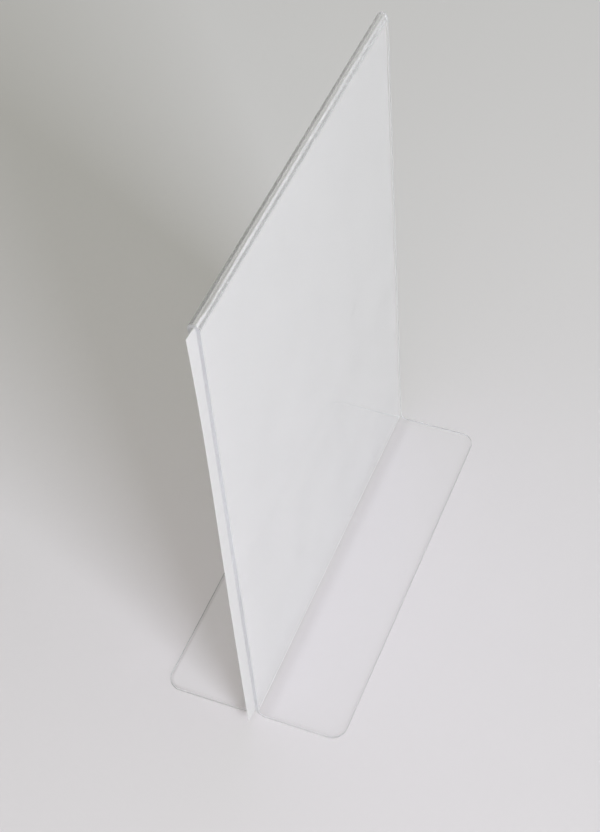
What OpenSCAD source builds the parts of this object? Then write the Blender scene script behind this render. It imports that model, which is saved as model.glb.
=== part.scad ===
// Clear two-sided table stand with a white card in its pocket.
// The stand is one acrylic sheet, folded over at the top and bent out into two feet.
// Millimetres. +X runs along the stand to its far end, +Y to the back and +Z up.
// The origin is on the table, in the middle plane of the pocket,
// midway between the card's near edge and the stand's far end.

/* [Card] */
// Width of the card
card_w = 219.6; // [90:0.1:420]
// Height of the card
card_h = 281; // [120:0.1:420]
// Thickness of the card
card_t = 0.4; // [0.2:0.05:0.8]
// How far the card stands out of the near end of the pocket
card_out = 6; // [0:0.5:20]
// Height of the card's lower edge above the table
card_lift = 2.6; // [0.5:0.1:20]
// Distance from the card's near edge to where its curl leans on the front panel
curl_front = 20; // [8:1:35]
// Distance from the card's near edge to where it lies flat again
curl_end = 58; // [40:1:85]

/* [Sheet] */
// Thickness of the acrylic sheet
sheet_t = 1.8; // [1:0.1:4]
// Clear width of the pocket between the two panels
pocket_gap = 2; // [1.5:0.1:6]
// How much narrower the stand is than the card
grip_margin = 5.6; // [0:0.1:20]

/* [Feet] */
// Reach of the front foot from the middle of the pocket
foot_front = 48; // [30:0.5:90]
// Reach of the back foot from the middle of the pocket
foot_back = 50.5; // [30:0.5:90]
// Inside radius of the bend between a panel and its foot
bend_r = 3.5; // [1:0.5:12]
// Radius of the feet's corners, seen from above
foot_corner_r = 8; // [1:0.5:20]

/* [Clearances] */
// Space left between the card's curl and either panel
card_clear = 0.3; // [0.25:0.05:0.45]
// Space left between the card's top edge and the inside of the fold
fold_clear = 0.2; // [0.1:0.05:0.2]

/* [Hidden] */
$fn = 96;

// Short steps that the card's curl is drawn with
curl_steps = 24;

// The stand is a little narrower than the card, so that an edge is left to grip
stand_w = card_w - grip_margin;
stand_near_x = (card_out - stand_w) / 2;
card_near_x = stand_near_x - card_out;

// The fold is a half tube around the top of the pocket
fold_in_r = pocket_gap / 2;
fold_out_r = fold_in_r + sheet_t;

// The card curls from one panel towards the other and stands close under the fold
curl_reach = fold_in_r - card_t / 2 - card_clear;
card_top_above_fold = sqrt(pow(fold_in_r - fold_clear, 2) - pow(fold_in_r - card_clear, 2));
fold_z = card_lift + card_h - card_top_above_fold;

// A foot's bend turns about an axis this far out and up from the pocket's foot
bend_out_r = bend_r + sheet_t;
bend_y = fold_in_r + bend_out_r;

// A ring of the sheet's thickness, cut down to one square of its area
module sheet_arc(inner_r, corner, size) {
    intersection() {
        difference() {
            circle(r = inner_r + sheet_t);
            circle(r = inner_r);
        }
        translate(corner)
            square(size);
    }
}

// One panel with its bend and its foot, in section, on the back side of the pocket
module panel_section(foot_reach) {
    translate([fold_in_r, bend_out_r])
        square([sheet_t, fold_z - bend_out_r]);
    translate([bend_y, bend_out_r])
        sheet_arc(bend_r, [-bend_out_r, -bend_out_r], [bend_out_r, bend_out_r]);
    translate([bend_y, 0])
        square([foot_reach - bend_y, sheet_t]);
}

// The whole folded sheet in section, from the end of one foot to the end of the other
module sheet_section() {
    panel_section(foot_back);
    mirror([1, 0])
        panel_section(foot_front);
    translate([0, fold_z])
        sheet_arc(fold_in_r, [-fold_out_r, 0], [2 * fold_out_r, fold_out_r]);
}

// Outline of both feet from above, with round corners
module feet_outline() {
    depth = foot_front + foot_back;
    translate([foot_corner_r, -foot_front])
        square([stand_w - 2 * foot_corner_r, depth]);
    translate([0, foot_corner_r - foot_front])
        square([stand_w, depth - 2 * foot_corner_r]);
    for (x = [foot_corner_r, stand_w - foot_corner_r])
        for (y = [foot_corner_r - foot_front, foot_back - foot_corner_r])
            translate([x, y])
                circle(r = foot_corner_r);
}

// Offset of the card from the pocket's middle plane, at a distance from its near edge
function curl(s) =
    s < curl_front ? curl_reach * cos(180 * s / curl_front)
    : -curl_reach * (1 + cos(180 * (s - curl_front) / (curl_end - curl_front))) / 2;

// The card from above: a curled stretch at the near edge, then flat to the far edge
module card_outline() {
    curled = [for (i = [0 : curl_steps]) curl_end * i / curl_steps];
    front_side = [for (s = curled) [s, curl(s) - card_t / 2]];
    back_side = [for (s = curled) [s, curl(s) + card_t / 2]];
    far_edge = [[card_w, -card_t / 2], [card_w, card_t / 2]];
    polygon(concat(front_side, far_edge, [for (i = [curl_steps : -1 : 0]) back_side[i]]));
}

module acrylic_stand() {
    color([0.86, 0.88, 0.9, 0.35])
        translate([stand_near_x, 0, 0])
            intersection() {
                rotate([90, 0, 90])
                    linear_extrude(stand_w)
                        sheet_section();
                linear_extrude(fold_z + fold_out_r)
                    feet_outline();
            }
}

module white_card() {
    color([0.95, 0.95, 0.94])
        translate([card_near_x, 0, card_lift])
            linear_extrude(card_h)
                card_outline();
}

acrylic_stand();
white_card();
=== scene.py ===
import math

import bmesh
import bpy
from bpy.props import FloatProperty, FloatVectorProperty, PointerProperty
from mathutils import Matrix, Quaternion, Vector


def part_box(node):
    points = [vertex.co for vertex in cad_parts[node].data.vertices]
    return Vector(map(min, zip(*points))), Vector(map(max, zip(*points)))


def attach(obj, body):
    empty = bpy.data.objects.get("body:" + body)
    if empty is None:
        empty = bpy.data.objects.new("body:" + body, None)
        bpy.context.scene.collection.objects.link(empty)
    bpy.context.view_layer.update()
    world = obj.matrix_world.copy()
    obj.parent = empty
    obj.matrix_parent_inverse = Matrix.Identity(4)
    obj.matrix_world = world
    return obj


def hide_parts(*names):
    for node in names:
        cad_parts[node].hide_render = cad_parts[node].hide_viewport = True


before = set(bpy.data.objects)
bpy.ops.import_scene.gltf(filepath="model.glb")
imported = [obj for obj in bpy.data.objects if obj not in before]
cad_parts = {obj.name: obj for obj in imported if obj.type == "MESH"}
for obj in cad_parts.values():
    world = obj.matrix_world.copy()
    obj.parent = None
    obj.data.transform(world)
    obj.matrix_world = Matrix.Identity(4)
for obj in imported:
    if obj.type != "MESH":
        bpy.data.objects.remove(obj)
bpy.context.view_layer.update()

bl_info = {
    "name": "Tabletop sign holder",
    "version": (1, 0, 0),
    "blender": (4, 5, 0),
    "location": "View3D > Sidebar > Sign holder",
    "description": "A clear folded sign holder with a white card, and its table, light and camera",
    "category": "Object",
}

# The frame is in metres: +X runs along the stand, +Y to its back and +Z up.
STAND_LOW, STAND_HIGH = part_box("acrylic_stand")
CARD_LOW, CARD_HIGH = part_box("white_card")
MM = 0.001

# The feet stand this far above the table, so that their undersides and the table stay apart
HAIR_GAP = 0.05 * MM

# Facets along a quarter turn of a bend, the whole of the fold and a foot's corner
BEND_STEPS = 20
FOLD_STEPS = 56
CORNER_STEPS = 14
# Cells of the card along its width and its height, and of the table along either side
CARD_CELLS = (108, 35)
TABLE_CELLS = 60
# Facets across a softened edge of the sheet and of the card
EDGE_STEPS = 3
CARD_EDGE_STEPS = 2
CARD_EDGE_ROUND = 0.04 * MM
# Edges that turn by more than this are softened
SOFTENED_ANGLE = math.radians(60)
# A narrow flat strip beside each bend keeps the wide panels shading flat
FLAT_STRIP = 0.6 * MM
# Points closer than this count as one
SAME_POINT = 0.0001 * MM
# Points closer than this to a line count as on it
ON_LINE = 0.001 * MM
# This power puts the middle of the card's bow at three quarters of its height
BOW_POWER = 2.65


def length(label, text, default):
    """A size that a user can change."""
    return FloatProperty(name=label, description=text, default=default, unit="LENGTH", precision=4)


def colour(label, text, default):
    """A colour that a user can change."""
    return FloatVectorProperty(
        name=label, description=text, default=default, subtype="COLOR", min=0, max=1, size=3
    )


def place(label, text, default):
    """A point in the frame that a user can change."""
    return FloatVectorProperty(
        name=label, description=text, default=default, subtype="TRANSLATION", unit="LENGTH", size=3
    )


class SignHolderStand(bpy.types.PropertyGroup):
    """Sizes and colours of the folded acrylic sheet."""

    near_end: length("Near end", "Where the sheet ends on the near side", STAND_LOW.x)
    far_end: length("Far end", "Where the sheet ends on the far side", STAND_HIGH.x)
    front_reach: length("Front foot", "Reach of the front foot from the pocket", -STAND_LOW.y)
    back_reach: length("Back foot", "Reach of the back foot from the pocket", STAND_HIGH.y)
    height: length("Height", "Height of the fold's top above the table", STAND_HIGH.z)
    thickness: length("Sheet", "Thickness of the acrylic sheet", 1.8 * MM)
    pocket: length("Pocket", "Clear width between the two panels", 2.0 * MM)
    bend_radius: length("Bend", "Inside radius of the bends at the feet", 3.5 * MM)
    corner_radius: length("Foot corners", "Radius of the feet's corners", 8.0 * MM)
    edge_round: length("Edge rounding", "Softening of the polished cut edges", 0.18 * MM)
    sheet_colour: colour("Sheet colour", "Tint of the clear sheet", (0.997, 0.998, 0.999))
    # The bend colour is painted shade that darkens the sheet at the bends
    bend_painted_shade_colour: colour("Bend colour", "Tint of the sheet where it was bent hot", (0.91, 0.905, 0.905))
    edge_colour: colour("Edge colour", "Tint of the panels' near ends", (0.93, 0.93, 0.96))
    # The foot edges colour is painted light: the feet's edges are a little lighter than the panels' near
    # ends
    foot_edge_painted_light_colour: colour("Foot edges", "Tint of the feet's near edges", (0.95, 0.94, 0.94))
    # The front edge and far edges colours are painted shade on those cut edges
    front_edge_painted_shade_colour: colour("Front edge", "Tint of the front foot's outer edge", (0.7, 0.69, 0.7))
    # Foot rims and back rim are painted shade just inside the feet's outline
    rim_painted_shade_colour: colour("Foot rims", "Tint of the feet close to their outline", (0.925, 0.92, 0.925))
    back_rim_painted_shade_colour: colour("Back rim", "Tint of the back foot close to its outer edge", (0.8, 0.795, 0.8))
    far_edge_painted_shade_colour: colour("Far edges", "Tint of the far end and the back edge", (0.6, 0.6, 0.61))


class SignHolderCard(bpy.types.PropertyGroup):
    """Sizes and colours of the card."""

    near_edge: length("Near edge", "Where the card stands out of the pocket", CARD_LOW.x)
    far_edge: length("Far edge", "Where the card ends inside the pocket", CARD_HIGH.x)
    lower_edge: length("Lower edge", "Height of the card's lower edge", CARD_LOW.z)
    upper_edge: length("Upper edge", "Height of the card's upper edge", CARD_HIGH.z)
    thickness: length("Card", "Thickness of the card", 0.4 * MM)
    curl_reach: length("Curl", "How far the curl leaves the pocket's middle", CARD_HIGH.y - 0.2 * MM)
    curl_front: length("Curl front", "From the near edge to where the curl is foremost", 20 * MM)
    curl_end: length("Curl end", "From the near edge to where the card lies flat", 58 * MM)
    near_bow: length("Near bow", "How far the near edge bows forward in its upper half", 0.9 * MM)
    face_colour: colour("Card colour", "Colour of the card's faces", (0.776, 0.774, 0.772))
    edge_colour: colour("Card edge", "Colour of the card's cut edges", (0.748, 0.754, 0.75))


class SignHolderStage(bpy.types.PropertyGroup):
    """Table, light and camera."""

    floor_size: length("Table", "Length of the table's sides, so long that no end shows", 60.0)
    floor_colour: colour("Table colour", "Colour of the pale table", (0.75, 0.713, 0.744))
    room_colour: colour("Room light", "Colour of the even light of the room", (0.482, 0.506, 0.441))
    backdrop_colour: colour("Backdrop", "Colour that is seen beyond the table", (0.6, 0.605, 0.59))
    lamp_place: place("Lamp", "Middle of the soft lamp", (-1.8835, -2.4995, 1.3285))
    lamp_aim: place("Lamp aim", "Point that the soft lamp faces", (0.0, 0.0, 0.1))
    lamp_width: length("Lamp width", "Width of the soft lamp", 1.36)
    lamp_height: length("Lamp height", "Height of the soft lamp", 0.85)
    lamp_colour: colour("Lamp colour", "Colour of the soft lamp", (0.889, 0.94, 1.0))
    lamp_power: FloatProperty(
        name="Lamp power", description="Power of the soft lamp", default=110.0, unit="POWER"
    )
    fill_place: place("Fill lamp", "Middle of the weak fill lamp", (-0.92, -0.34, 0.42))
    fill_width: length("Fill width", "Width of the weak fill lamp", 0.6)
    fill_height: length("Fill height", "Height of the weak fill lamp", 0.45)
    fill_colour: colour("Fill colour", "Colour of the weak fill lamp", (1.0, 0.76, 0.93))
    fill_power: FloatProperty(
        name="Fill power", description="Power of the weak fill lamp", default=1.75, unit="POWER"
    )
    camera_place: place("Camera", "Where the camera stands", (-0.52142, -0.24917, 0.77252))
    camera_aim: place("Camera aim", "Point in the middle of the view", (-0.01759, 0.0, 0.13917))
    camera_roll: FloatProperty(
        name="Camera roll",
        description="Turn of the camera about its line of sight",
        default=math.radians(-5.637),
        subtype="ANGLE",
    )
    camera_lens: FloatProperty(
        name="Lens", description="Focal length for a long side of 36 mm", default=75.79, unit="CAMERA"
    )


# Node helpers


def add_node(tree, kind, **settings):
    """A new node, with properties set by name and inputs set by their label in `inputs`."""
    node = tree.nodes.new(kind)
    for label, value in settings.pop("inputs", {}).items():
        node.inputs[label].default_value = value
    for name, value in settings.items():
        setattr(node, name, value)
    return node


def maths(tree, operation, first, second):
    """A Math node; either side is a socket or a number."""
    node = tree.nodes.new("ShaderNodeMath")
    node.operation = operation
    for socket, value in zip(node.inputs, (first, second)):
        if isinstance(value, (int, float)):
            socket.default_value = value
        else:
            tree.links.new(value, socket)
    return node.outputs["Value"]


def remap(tree, value, low, high, to_low, to_high):
    """A Map Range node from low..high to to_low..to_high, held at both ends."""
    node = add_node(
        tree,
        "ShaderNodeMapRange",
        inputs={"From Min": low, "From Max": high, "To Min": to_low, "To Max": to_high},
    )
    tree.links.new(value, node.inputs["Value"])
    return node.outputs["Result"]


def noise(tree, coordinates, scale, detail=3.0, roughness=0.5):
    """A Noise texture's value on these coordinates, with `scale` features to the metre."""
    node = add_node(
        tree, "ShaderNodeTexNoise", inputs={"Scale": scale, "Detail": detail, "Roughness": roughness}
    )
    tree.links.new(coordinates, node.inputs["Vector"])
    return node.outputs["Fac"]


def stretched(tree, coordinates, scale, turn=(0, 0, 0)):
    """Coordinates turned and then scaled along each axis."""
    node = add_node(tree, "ShaderNodeMapping", inputs={"Rotation": turn, "Scale": scale})
    tree.links.new(coordinates, node.inputs["Vector"])
    return node.outputs["Vector"]


def object_coordinates(tree):
    """The piece's own coordinates, in metres."""
    return tree.nodes.new("ShaderNodeTexCoord").outputs["Object"]


def axes(tree):
    """The piece's own X, Y and Z, in metres."""
    split = tree.nodes.new("ShaderNodeSeparateXYZ")
    tree.links.new(object_coordinates(tree), split.inputs["Vector"])
    return split.outputs


def mixed_shaders(tree, share, first, second):
    """The first shader with this share of the second; the share is a socket or a number."""
    mix = tree.nodes.new("ShaderNodeMixShader")
    if isinstance(share, float):
        mix.inputs["Fac"].default_value = share
    else:
        tree.links.new(share, mix.inputs["Fac"])
    for socket, shader in zip(mix.inputs[1:], (first, second)):
        tree.links.new(shader, socket)
    return mix.outputs["Shader"]


def new_group(name, inputs, outputs):
    """An empty shader node group with float inputs and outputs."""
    tree = bpy.data.node_groups.new(name, "ShaderNodeTree")
    for label, default in inputs.items():
        socket = tree.interface.new_socket(name=label, in_out="INPUT", socket_type="NodeSocketFloat")
        socket.default_value = default
    for label in outputs:
        tree.interface.new_socket(name=label, in_out="OUTPUT", socket_type="NodeSocketFloat")
    return tree, tree.nodes.new("NodeGroupInput"), tree.nodes.new("NodeGroupOutput")


def use_group(tree, group, **values):
    """The group placed in a material, with its own values."""
    node = tree.nodes.new("ShaderNodeGroup")
    node.node_tree = group
    for label, value in values.items():
        node.inputs[label.replace("_", " ").capitalize()].default_value = value
    return node


# Effects


def handling_marks():
    """Smudges, hairline scratches and dust, as masks from 0 to 1."""
    name = "Handling marks"
    if name in bpy.data.node_groups:
        return bpy.data.node_groups[name]
    tree, given, result = new_group(
        name, {"Smudge scale": 24.0, "Scratch width": 0.004}, ("Smudge", "Scratch", "Dust")
    )
    where = object_coordinates(tree)
    smudge_noise = tree.nodes.new("ShaderNodeTexNoise")
    smudge_noise.inputs["Detail"].default_value = 5.0
    tree.links.new(where, smudge_noise.inputs["Vector"])
    tree.links.new(given.outputs["Smudge scale"], smudge_noise.inputs["Scale"])
    smudge = remap(tree, smudge_noise.outputs["Fac"], 0.45, 0.72, 0.0, 1.0)
    tree.links.new(smudge, result.inputs["Smudge"])
    # A scratch follows a thin level line of a noise that is drawn out along one direction
    drawn_out = stretched(tree, where, (220, 30, 18), (0.3, 0.5, 0.9))
    level = noise(tree, drawn_out, 1.0, detail=1.0)
    off_line = maths(tree, "ABSOLUTE", maths(tree, "SUBTRACT", level, 0.5), 0)
    line = maths(tree, "LESS_THAN", off_line, given.outputs["Scratch width"])
    patches = remap(tree, noise(tree, where, 45.0), 0.55, 0.65, 0.0, 1.0)
    tree.links.new(maths(tree, "MULTIPLY", line, patches), result.inputs["Scratch"])
    specks = add_node(tree, "ShaderNodeTexVoronoi", inputs={"Scale": 170.0})
    tree.links.new(where, specks.inputs["Vector"])
    near_speck = remap(tree, specks.outputs["Distance"], 0.02, 0.06, 1.0, 0.0)
    chosen = add_node(tree, "ShaderNodeSeparateColor")
    tree.links.new(specks.outputs["Color"], chosen.inputs["Color"])
    few = maths(tree, "GREATER_THAN", chosen.outputs["Red"], 0.72)
    tree.links.new(maths(tree, "MULTIPLY", near_speck, few), result.inputs["Dust"])
    return tree


def paper_fibre():
    """Fine fibres and cloudy formation of paper, as values around 0.5."""
    name = "Paper fibre"
    if name in bpy.data.node_groups:
        return bpy.data.node_groups[name]
    tree, given, result = new_group(name, {"Fibre scale": 1.0}, ("Fibre", "Cloud"))
    where = object_coordinates(tree)
    lying = noise(tree, stretched(tree, where, (900, 900, 3600)), 1.0, detail=4.0)
    standing = noise(tree, stretched(tree, where, (3600, 900, 900)), 1.0, detail=4.0)
    both = maths(tree, "MULTIPLY", maths(tree, "ADD", lying, standing), 0.5)
    scaled = maths(tree, "MULTIPLY", maths(tree, "SUBTRACT", both, 0.5), given.outputs["Fibre scale"])
    tree.links.new(maths(tree, "ADD", scaled, 0.5), result.inputs["Fibre"])
    tree.links.new(noise(tree, where, 160.0, detail=4.0), result.inputs["Cloud"])
    return tree


# Materials


def new_material(name):
    """A material with an empty node tree and its output node."""
    material = bpy.data.materials.new(name)
    material.use_nodes = True
    material.node_tree.nodes.clear()
    return material, material.node_tree, material.node_tree.nodes.new("ShaderNodeOutputMaterial")


def tinted(tree, mask, plain, marked):
    """A colour that goes from plain to marked with the mask; plain is a colour or a socket."""
    mix = add_node(tree, "ShaderNodeMix", data_type="RGBA")
    tree.links.new(mask, mix.inputs["Factor"])
    if isinstance(plain, tuple):
        mix.inputs["A"].default_value = (*plain, 1.0)
    else:
        tree.links.new(plain, mix.inputs["A"])
    mix.inputs["B"].default_value = (*marked, 1.0)
    return mix.outputs["Result"]


# Acrylic: its refraction, and the share of a lamp's light that each face and each cut edge lets through
ACRYLIC_IOR = 1.49
FACE_LAMP_SHARE = 0.995
EDGE_LAMP_SHARE = 0.9
# Roughness of a clean face, and the tone of a speck of dust on it
FACE_ROUGHNESS = 0.07
DUST_SHADE = 0.93
# Middle of the painted shade at a bend, where the sheet is also rougher, in outer radii out from the pocket
# and up from the table, and its reach
SHADE_AND_HAZE_OUT, SHADE_AND_HAZE_UP = 0.75, 0.38
SHADE_AND_HAZE_REACH = 6.5 * MM
# How far the painted shade just inside the feet's outline reaches in
RIM_SHADE_REACH = 2.2 * MM
# A foot's faces lie below this, in thicknesses of the sheet
FOOT_TOP = 1.1
# How far below the fold its slight dullness fades out
FOLD_FADE = 3.0 * MM
# Cut edges: clearness, roughness from fine line to fine line, lines and cloudy patches to the metre
EDGE_CLEARNESS = 0.85
EDGE_ROUGHNESS = (0.66, 0.74)
SAW_LINES = 2600.0
SAW_DRIFT = 90.0
PATCH_SHADE = 0.9
# A foot's outer edge has its full painted shade this far into the corner, in corner radii
EDGE_SHADE_FULL_FROM = 0.3

# Share of the light that goes on through each face of the card
CARD_GLOW = 0.45
GLOW_TINT = (1.0, 0.96, 0.96)
CARD_SPECULAR = 0.25
CARD_ROUGHNESS = (0.55, 0.75)
# Tone of the card's thin and thick clouds
CLOUD_SHADES = (0.975, 1.01)
# Contrast and depth of the fibres on the card's faces and on its cut edges
FACE_FIBRE = (1.0, 0.03 * MM)
EDGE_FIBRE = (1.6, 0.06 * MM)

# The table is matt
TABLE_SPECULAR = 0.05
TABLE_ROUGHNESS = (0.55, 0.65)
TABLE_SHADES = (0.99, 1.01)
# From the far to the near of these distances from the lamp's foot, the table is seen ever darker,
# down to this shade, so that it doesn't burn out there
TABLE_FAR, TABLE_NEAR = 2.7, 1.0
TABLE_NEAR_SHADE = 0.28


def clear_shader(tree, output, lamp_share):
    """A Principled shader for acrylic that lets `lamp_share` of a lamp's light straight through."""
    acrylic = tree.nodes.new("ShaderNodeBsdfPrincipled")
    acrylic.inputs["Transmission Weight"].default_value = 1.0
    acrylic.inputs["IOR"].default_value = ACRYLIC_IOR
    open_to_lamps = tree.nodes.new("ShaderNodeBsdfTransparent")
    open_to_lamps.inputs["Color"].default_value = (lamp_share, lamp_share, lamp_share, 1.0)
    on_way_to_lamp = tree.nodes.new("ShaderNodeLightPath").outputs["Is Shadow Ray"]
    surface = mixed_shaders(tree, on_way_to_lamp, acrylic.outputs["BSDF"], open_to_lamps.outputs["BSDF"])
    tree.links.new(surface, output.inputs["Surface"])
    return acrylic


def bend_shade_and_haze_mask(tree, stand):
    """A mask for the painted shade and the added roughness at the bends: 1 in the middle of either foot's
    bend, fading out along the sheet.
    """
    bend_out = stand.bend_radius + stand.thickness
    where = axes(tree)
    outward = maths(tree, "ABSOLUTE", where["Y"], 0)
    outward = maths(tree, "SUBTRACT", outward, stand.pocket / 2 + SHADE_AND_HAZE_OUT * bend_out)
    upward = maths(tree, "SUBTRACT", where["Z"], SHADE_AND_HAZE_UP * bend_out)
    squares = maths(tree, "ADD", maths(tree, "POWER", outward, 2), maths(tree, "POWER", upward, 2))
    away = maths(tree, "SQRT", squares, 0)
    ramp = add_node(
        tree,
        "ShaderNodeMapRange",
        interpolation_type="SMOOTHSTEP",
        inputs={"From Min": 0.0, "From Max": SHADE_AND_HAZE_REACH, "To Min": 1.0, "To Max": 0.0},
    )
    tree.links.new(away, ramp.inputs["Value"])
    return ramp.outputs["Result"]


def fold_haze(tree, stand):
    """A mask that is 1 around the fold and fades out below it."""
    fold_z = stand.height - stand.pocket / 2 - stand.thickness
    return remap(tree, axes(tree)["Z"], fold_z - FOLD_FADE, fold_z, 0.0, 1.0)


def foot_rim_shades(tree, stand):
    """Two masks of painted shade that rise to 1 just inside the feet's outline: the back foot's outer edge,
    and the rest.
    """
    where = axes(tree)
    corner = stand.corner_radius
    # The far end stays clear
    spans = {"X": (stand.near_end, stand.far_end + RIM_SHADE_REACH), "Y": (-stand.front_reach, stand.back_reach)}
    squares = []
    for axis, (low, high) in spans.items():
        off_middle = maths(tree, "SUBTRACT", where[axis], (low + high) / 2)
        distance = maths(tree, "ABSOLUTE", off_middle, 0)
        past_corner_start = maths(tree, "SUBTRACT", distance, (high - low) / 2 - corner)
        squares.append(maths(tree, "POWER", maths(tree, "MAXIMUM", past_corner_start, 0.0), 2))
    reach = maths(tree, "SQRT", maths(tree, "ADD", *squares), 0)
    rim = remap(tree, reach, corner - RIM_SHADE_REACH, corner, 0.0, 1.0)
    on_foot = maths(tree, "LESS_THAN", where["Z"], FOOT_TOP * stand.thickness)
    rim = maths(tree, "MULTIPLY", rim, on_foot)
    back_edge = stand.back_reach
    at_back = remap(tree, where["Y"], back_edge - 2 * corner, back_edge - corner, 0.0, 1.0)
    back_rim_shade = maths(tree, "MULTIPLY", rim, at_back)
    return back_rim_shade, maths(tree, "SUBTRACT", rim, back_rim_shade)


def acrylic_faces(stand):
    """The clear faces: polished, with faint smudges, hairlines and dust, and rougher at the bends; painted
    shade makes them greyer at the bends and just inside the feet's outline.
    """
    material, tree, output = new_material("clear_acrylic_faces")
    acrylic = clear_shader(tree, output, FACE_LAMP_SHARE)
    marks = use_group(tree, handling_marks())
    clean = tuple(stand.sheet_colour)
    bend_shade_and_haze = bend_shade_and_haze_mask(tree, stand)
    # Painted shade: the sheet is tinted darker at the bends
    painted_shade_tint = tinted(tree, bend_shade_and_haze, clean, tuple(stand.bend_painted_shade_colour))
    back_rim_shade, rim = foot_rim_shades(tree, stand)
    # Painted shade: the feet are tinted darker just inside their outline, the back foot's outer edge most
    painted_shade_tint = tinted(tree, rim, painted_shade_tint, tuple(stand.rim_painted_shade_colour))
    painted_shade_tint = tinted(tree, back_rim_shade, painted_shade_tint, tuple(stand.back_rim_painted_shade_colour))
    dusted = tinted(tree, marks.outputs["Dust"], painted_shade_tint, tuple(DUST_SHADE * c for c in clean))
    tree.links.new(dusted, acrylic.inputs["Base Color"])
    rough = FACE_ROUGHNESS
    for mask, added_roughness in (
        (marks.outputs["Smudge"], 0.03),
        (marks.outputs["Scratch"], 0.06),
        (bend_shade_and_haze, 0.14),
        (fold_haze(tree, stand), 0.12),
    ):
        rough = maths(tree, "ADD", rough, maths(tree, "MULTIPLY", mask, added_roughness))
    tree.links.new(rough, acrylic.inputs["Roughness"])
    return material


def acrylic_edges(stand):
    """The cut edges: fine lines across the sheet's thickness under a satin polish, with painted shade on
    the feet's outer edges and the far end.
    """
    material, tree, output = new_material("acrylic_cut_edges")
    acrylic = clear_shader(tree, output, EDGE_LAMP_SHARE)
    acrylic.inputs["Transmission Weight"].default_value = EDGE_CLEARNESS
    where = axes(tree)
    # Held at the bend, so that the lines cross the thickness on the panels and on the feet alike
    bend_out = stand.bend_radius + stand.thickness
    along_foot = maths(tree, "MAXIMUM", maths(tree, "ABSOLUTE", where["Y"], 0), bend_out)
    along_panel = maths(tree, "MAXIMUM", where["Z"], bend_out)
    joined = tree.nodes.new("ShaderNodeCombineXYZ")
    for axis, value in (("X", where["X"]), ("Y", along_foot), ("Z", along_panel)):
        tree.links.new(value, joined.inputs[axis])
    lines = noise(tree, joined.outputs["Vector"], SAW_LINES, detail=2.0)
    drift = noise(tree, joined.outputs["Vector"], SAW_DRIFT, detail=2.0)
    plain = tuple(stand.edge_colour)
    # Painted light: the feet's edges are tinted a little lighter than the panels' near ends
    on_foot = remap(tree, where["Z"], bend_out, 2 * bend_out, 1.0, 0.0)
    toned = tinted(tree, on_foot, plain, tuple(stand.foot_edge_painted_light_colour))
    # Painted shade: the feet's outer edges and the far end are tinted darker
    corner = stand.corner_radius
    turned = EDGE_SHADE_FULL_FROM * corner
    front = remap(tree, where["Y"], turned - stand.front_reach, corner - stand.front_reach, 1.0, 0.0)
    back = remap(tree, where["Y"], stand.back_reach - corner, stand.back_reach - turned, 0.0, 1.0)
    far = remap(tree, where["X"], stand.far_end - corner, stand.far_end, 0.0, 1.0)
    toned = tinted(tree, maths(tree, "MAXIMUM", back, far), toned, tuple(stand.far_edge_painted_shade_colour))
    toned = tinted(tree, front, toned, tuple(stand.front_edge_painted_shade_colour))
    patches = remap(tree, drift, 0.4, 0.8, 0.0, 0.3)
    drifted = tinted(tree, patches, toned, tuple(PATCH_SHADE * c for c in plain))
    tree.links.new(drifted, acrylic.inputs["Base Color"])
    tree.links.new(remap(tree, lines, 0.3, 0.7, *EDGE_ROUGHNESS), acrylic.inputs["Roughness"])
    bump = add_node(tree, "ShaderNodeBump", inputs={"Strength": 0.05, "Distance": 0.02 * MM})
    tree.links.new(lines, bump.inputs["Height"])
    tree.links.new(bump.outputs["Normal"], acrylic.inputs["Normal"])
    return material


def card_surface(name, base, fibre_scale, depth):
    """Matte white card with fine fibres and a faint cloudiness."""
    material, tree, output = new_material(name)
    paper = tree.nodes.new("ShaderNodeBsdfPrincipled")
    paper.inputs["Specular IOR Level"].default_value = CARD_SPECULAR
    through = tree.nodes.new("ShaderNodeBsdfTranslucent")
    surface = mixed_shaders(tree, CARD_GLOW, paper.outputs["BSDF"], through.outputs["BSDF"])
    tree.links.new(surface, output.inputs["Surface"])
    fibre = use_group(tree, paper_fibre(), fibre_scale=fibre_scale)
    cloud = maths(tree, "ADD", maths(tree, "MULTIPLY", fibre.outputs["Fibre"], 0.5), fibre.outputs["Cloud"])
    formed = remap(tree, cloud, 0.5, 1.0, 0.0, 1.0)
    thin, thick = (tuple(shade * c for c in base) for shade in CLOUD_SHADES)
    tree.links.new(tinted(tree, formed, thin, thick), paper.inputs["Base Color"])
    warm = tuple(w * c for w, c in zip(GLOW_TINT, base))
    through.inputs["Color"].default_value = (*warm, 1.0)
    rough = remap(tree, fibre.outputs["Fibre"], 0.3, 0.7, *CARD_ROUGHNESS)
    tree.links.new(rough, paper.inputs["Roughness"])
    bump = add_node(tree, "ShaderNodeBump", inputs={"Strength": 0.35, "Distance": depth})
    tree.links.new(fibre.outputs["Fibre"], bump.inputs["Height"])
    tree.links.new(bump.outputs["Normal"], paper.inputs["Normal"])
    return material


def looked_at(tree):
    """A mask that is 1 for what is seen, straight or in the acrylic, and 0 for what only sheds light."""
    path = tree.nodes.new("ShaderNodeLightPath")
    mask = path.outputs["Is Camera Ray"]
    for kind in ("Is Glossy Ray", "Is Transmission Ray"):
        mask = maths(tree, "MAXIMUM", mask, path.outputs[kind])
    return mask


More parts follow.
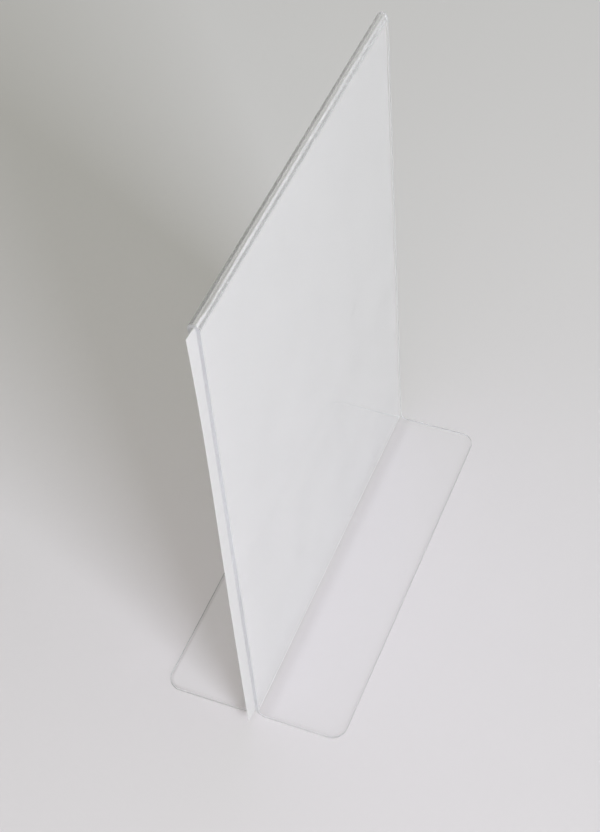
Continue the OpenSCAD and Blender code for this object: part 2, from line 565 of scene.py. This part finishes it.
def table_surface(stage):
    """A pale matt laminate, faintly uneven."""
    material, tree, output = new_material("pale_laminate")
    laminate = tree.nodes.new("ShaderNodeBsdfPrincipled")
    laminate.inputs["Specular IOR Level"].default_value = TABLE_SPECULAR
    tree.links.new(laminate.outputs["BSDF"], output.inputs["Surface"])
    where = object_coordinates(tree)
    dark, pale = (tuple(shade * c for c in stage.floor_colour) for shade in TABLE_SHADES)
    tint = tinted(tree, noise(tree, where, 5.0), dark, pale)
    away = add_node(tree, "ShaderNodeVectorMath", operation="DISTANCE")
    tree.links.new(where, away.inputs[0])
    away.inputs[1].default_value = (stage.lamp_place[0], stage.lamp_place[1], 0.0)
    near_lamp = remap(tree, away.outputs["Value"], TABLE_NEAR, TABLE_FAR, 1.0 - TABLE_NEAR_SHADE, 0.0)
    shaded = maths(tree, "MULTIPLY", near_lamp, looked_at(tree))
    tree.links.new(tinted(tree, shaded, tint, (0.0, 0.0, 0.0)), laminate.inputs["Base Color"])
    rough = remap(tree, noise(tree, where, 320.0), 0.3, 0.7, *TABLE_ROUGHNESS)
    tree.links.new(rough, laminate.inputs["Roughness"])
    return material


# Shapes


def new_piece(name, bm, materials):
    """An object at the origin whose mesh comes from bm."""
    mesh = bpy.data.meshes.new(name)
    bm.to_mesh(mesh)
    bm.free()
    piece = bpy.data.objects.new(name, mesh)
    for material in materials:
        mesh.materials.append(material)
    bpy.context.scene.collection.objects.link(piece)
    return piece


def run_straight(bm, edge, step, strips=(1, 1)):
    """Extrudes the sheet's leading edge by step, with a narrow flat strip at the ends that meet a bend."""
    way = Vector(step)
    strip = way.normalized() * FLAT_STRIP
    first, last = strips
    for part in (first * strip, way - (first + last) * strip, last * strip):
        if part.length > 0:
            made = bmesh.ops.extrude_edge_only(bm, edges=[edge])["geom"]
            verts = [item for item in made if isinstance(item, bmesh.types.BMVert)]
            bmesh.ops.translate(bm, verts=verts, vec=part)
            edge = bm.edges.get(verts)
    return edge


def run_round(bm, edge, centre_y, centre_z, turn, steps):
    """Spins the sheet's leading edge about an axis along X."""
    made = bmesh.ops.spin(
        bm, geom=[edge], cent=(0, centre_y, centre_z), axis=(1, 0, 0), angle=turn, steps=steps
    )
    return next(item for item in made["geom_last"] if isinstance(item, bmesh.types.BMEdge))


def folded_sheet(stand):
    """The sheet's pocket side, from the end of the front foot over the fold to the end of the back foot."""
    pocket_half = stand.pocket / 2
    bend_out = stand.bend_radius + stand.thickness
    bend_y = pocket_half + bend_out
    fold_z = stand.height - pocket_half - stand.thickness
    quarter = math.radians(90)
    bm = bmesh.new()
    ends = [bm.verts.new((x, -stand.front_reach, 0)) for x in (stand.near_end, stand.far_end)]
    edge = bm.edges.new(ends)
    edge = run_straight(bm, edge, (0, stand.front_reach - bend_y, 0), strips=(0, 1))
    edge = run_round(bm, edge, -bend_y, bend_out, quarter, BEND_STEPS)
    edge = run_straight(bm, edge, (0, 0, fold_z - bend_out))
    edge = run_round(bm, edge, 0, fold_z, -2 * quarter, FOLD_STEPS)
    edge = run_straight(bm, edge, (0, 0, bend_out - fold_z))
    edge = run_round(bm, edge, bend_y, bend_out, quarter, BEND_STEPS)
    run_straight(bm, edge, (0, stand.back_reach - bend_y, 0), strips=(1, 0))
    return bm


def round_foot_corners(bm, stand):
    """Rounds the four outer corners of the feet."""
    ends = (-stand.front_reach, stand.back_reach)
    corners = [v for v in bm.verts if min(abs(v.co.y - end) for end in ends) < ON_LINE]
    bmesh.ops.bevel(
        bm,
        geom=corners,
        offset=stand.corner_radius,
        offset_type="OFFSET",
        affect="VERTICES",
        segments=CORNER_STEPS,
        profile=0.5,
        material=-1,
    )


def curl(card, s):
    """Offset of the card from the pocket's middle at the distance s from its near edge."""
    if s < card.curl_front:
        return card.curl_reach * math.cos(math.pi * s / card.curl_front)
    if s > card.curl_end:
        return 0.0
    share = (s - card.curl_front) / (card.curl_end - card.curl_front)
    return -card.curl_reach * (1 + math.cos(math.pi * share)) / 2


def bow(card, s, share):
    """How far the card bows forward at the distance s from its near edge and this share of its height."""
    if s > card.curl_front:
        return 0.0
    fade = (1 + math.cos(math.pi * s / card.curl_front)) / 2
    held_share = min(1.0, max(0.0, share))
    return card.near_bow * fade * math.sin(math.pi * held_share**BOW_POWER)


def standing_card(card):
    """The card's middle surface, curled near its near edge."""
    width = card.far_edge - card.near_edge
    height = card.upper_edge - card.lower_edge
    bm = bmesh.new()
    columns, rows = CARD_CELLS
    bmesh.ops.create_grid(bm, x_segments=columns, y_segments=rows, size=0.5)
    bmesh.ops.scale(bm, verts=bm.verts, vec=(width, height, 1))
    bmesh.ops.rotate(bm, verts=bm.verts, cent=(0, 0, 0), matrix=Matrix.Rotation(math.pi / 2, 3, "X"))
    middle = ((card.near_edge + card.far_edge) / 2, 0, (card.lower_edge + card.upper_edge) / 2)
    bmesh.ops.translate(bm, verts=bm.verts, vec=middle)
    for v in bm.verts:
        s = v.co.x - card.near_edge
        v.co.y = curl(card, s) - bow(card, s, (v.co.z - card.lower_edge) / height)
    return bm


def give_thickness(piece, thickness, offset, rounding, segments):
    """Thickens a sheet, with the second material on its rim, and softens its rim edges."""
    solid = piece.modifiers.new("Sheet thickness", "SOLIDIFY")
    solid.thickness = thickness
    solid.offset = offset
    solid.use_even_offset = True
    solid.material_offset_rim = 1
    soft = piece.modifiers.new("Soft edges", "BEVEL")
    soft.width = rounding
    soft.segments = segments
    soft.material = 1
    soft.limit_method = "ANGLE"
    soft.angle_limit = SOFTENED_ANGLE
    soft.harden_normals = True
    for polygon in piece.data.polygons:
        polygon.use_smooth = True


# Operators

# Light that runs along inside the sheet is mirrored dozens of times on its way
SHEET_BOUNCES = 400
# Faces that a lamp's light may pass on its way to the card or the table
CLEAR_LAYERS = 32


class SIGNHOLDER_OT_stage(bpy.types.Operator):
    """Lays the table and sets the light and the camera"""

    bl_idname = "signholder.stage"
    bl_label = "Table, light and camera"
    bl_options = {"REGISTER", "UNDO"}

    def execute(self, context):
        stage = context.scene.signholder_stage
        self.lay_table(stage)
        self.light_room(context, stage)
        for name in ("lamp", "fill"):
            self.hang_lamp(context, stage, name)
        self.stand_camera(context, stage)
        context.scene.view_settings.view_transform = "Standard"
        context.scene.cycles.max_bounces = SHEET_BOUNCES
        context.scene.cycles.glossy_bounces = SHEET_BOUNCES
        context.scene.cycles.transmission_bounces = SHEET_BOUNCES
        context.scene.cycles.transparent_max_bounces = CLEAR_LAYERS
        return {"FINISHED"}

    def lay_table(self, stage):
        bm = bmesh.new()
        bmesh.ops.create_grid(bm, x_segments=TABLE_CELLS, y_segments=TABLE_CELLS, size=stage.floor_size / 2)
        bmesh.ops.translate(bm, verts=bm.verts, vec=(0, 0, -HAIR_GAP))
        table = new_piece("pale_table", bm, [table_surface(stage)])

    def light_room(self, context, stage):
        world = bpy.data.worlds.new("soft_room")
        world.use_nodes = True
        tree = world.node_tree
        light = tree.nodes["Background"]
        light.inputs["Color"].default_value = (*stage.room_colour, 1.0)
        seen = add_node(tree, "ShaderNodeBackground", inputs={"Color": (*stage.backdrop_colour, 1.0)})
        both = mixed_shaders(tree, looked_at(tree), light.outputs["Background"], seen.outputs["Background"])
        tree.links.new(both, tree.nodes["World Output"].inputs["Surface"])
        context.scene.world = world

    def hang_lamp(self, context, stage, name):
        light = bpy.data.lights.new(f"soft_{name}", "AREA")
        light.shape = "RECTANGLE"
        light.size = getattr(stage, f"{name}_width")
        light.size_y = getattr(stage, f"{name}_height")
        light.color = getattr(stage, f"{name}_colour")
        light.energy = getattr(stage, f"{name}_power")
        lamp = bpy.data.objects.new(f"soft_{name}", light)
        lamp.location = getattr(stage, f"{name}_place")
        sight = Vector(stage.lamp_aim) - lamp.location
        lamp.rotation_euler = sight.to_track_quat("-Z", "Y").to_euler()
        lamp.visible_camera = False
        lamp.visible_transmission = False
        lamp.visible_glossy = name == "lamp"
        context.scene.collection.objects.link(lamp)

    def stand_camera(self, context, stage):
        camera = bpy.data.objects.new("camera", bpy.data.cameras.new("camera"))
        camera.data.lens = stage.camera_lens
        camera.data.clip_start = 0.01
        camera.location = stage.camera_place
        sight = Vector(stage.camera_aim) - Vector(stage.camera_place)
        level = sight.to_track_quat("-Z", "Y")
        camera.rotation_mode = "QUATERNION"
        camera.rotation_quaternion = level @ Quaternion((0, 0, 1), stage.camera_roll)
        context.scene.collection.objects.link(camera)
        context.scene.camera = camera


class SIGNHOLDER_OT_stand(bpy.types.Operator):
    """Folds the clear acrylic sheet with its pocket and its two feet"""

    bl_idname = "signholder.stand"
    bl_label = "Acrylic stand"
    bl_options = {"REGISTER", "UNDO"}

    def execute(self, context):
        stand = context.scene.signholder_stand
        bm = folded_sheet(stand)
        round_foot_corners(bm, stand)
        bmesh.ops.remove_doubles(bm, verts=bm.verts, dist=SAME_POINT)
        # The faces turn away from the pocket, so that the thickness grows outwards
        bmesh.ops.reverse_faces(bm, faces=bm.faces)
        piece = new_piece("folded_acrylic_sheet", bm, [acrylic_faces(stand), acrylic_edges(stand)])
        give_thickness(piece, stand.thickness, 1.0, stand.edge_round, EDGE_STEPS)
        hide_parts("acrylic_stand")
        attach(piece, "stand")
        # Light that has met the table or the card goes straight through the clear sheet
        piece.visible_diffuse = False
        return {"FINISHED"}


class SIGNHOLDER_OT_card(bpy.types.Operator):
    """Stands the white card in the pocket"""

    bl_idname = "signholder.card"
    bl_label = "White card"
    bl_options = {"REGISTER", "UNDO"}

    def execute(self, context):
        card = context.scene.signholder_card
        faces = card_surface("white_card_faces", tuple(card.face_colour), *FACE_FIBRE)
        edges = card_surface("white_card_edges", tuple(card.edge_colour), *EDGE_FIBRE)
        piece = new_piece("curled_white_card", standing_card(card), [faces, edges])
        give_thickness(piece, card.thickness, 0.0, CARD_EDGE_ROUND, CARD_EDGE_STEPS)
        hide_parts("white_card")
        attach(piece, "card")
        return {"FINISHED"}


class SIGNHOLDER_PT_panel(bpy.types.Panel):
    """Lists the sizes, colours and pieces of the sign holder"""

    bl_label = "Sign holder"
    bl_idname = "SIGNHOLDER_PT_panel"
    bl_space_type = "VIEW_3D"
    bl_region_type = "UI"
    bl_category = "Sign holder"

    def draw(self, context):
        for settings, operator in (
            (context.scene.signholder_stage, SIGNHOLDER_OT_stage),
            (context.scene.signholder_stand, SIGNHOLDER_OT_stand),
            (context.scene.signholder_card, SIGNHOLDER_OT_card),
        ):
            box = self.layout.box()
            for name in settings.__annotations__:
                box.prop(settings, name)
            box.operator(operator.bl_idname)


CLASSES = (
    SignHolderStand,
    SignHolderCard,
    SignHolderStage,
    SIGNHOLDER_OT_stage,
    SIGNHOLDER_OT_stand,
    SIGNHOLDER_OT_card,
    SIGNHOLDER_PT_panel,
)


def register():
    for cls in CLASSES:
        bpy.utils.register_class(cls)
    bpy.types.Scene.signholder_stand = PointerProperty(type=SignHolderStand)
    bpy.types.Scene.signholder_card = PointerProperty(type=SignHolderCard)
    bpy.types.Scene.signholder_stage = PointerProperty(type=SignHolderStage)


def unregister():
    del bpy.types.Scene.signholder_stage
    del bpy.types.Scene.signholder_card
    del bpy.types.Scene.signholder_stand
    for cls in reversed(CLASSES):
        bpy.utils.unregister_class(cls)


def main():
    register()
    bpy.ops.signholder.stage()
    bpy.ops.signholder.stand()
    bpy.ops.signholder.card()


if __name__ == "__main__":
    main()
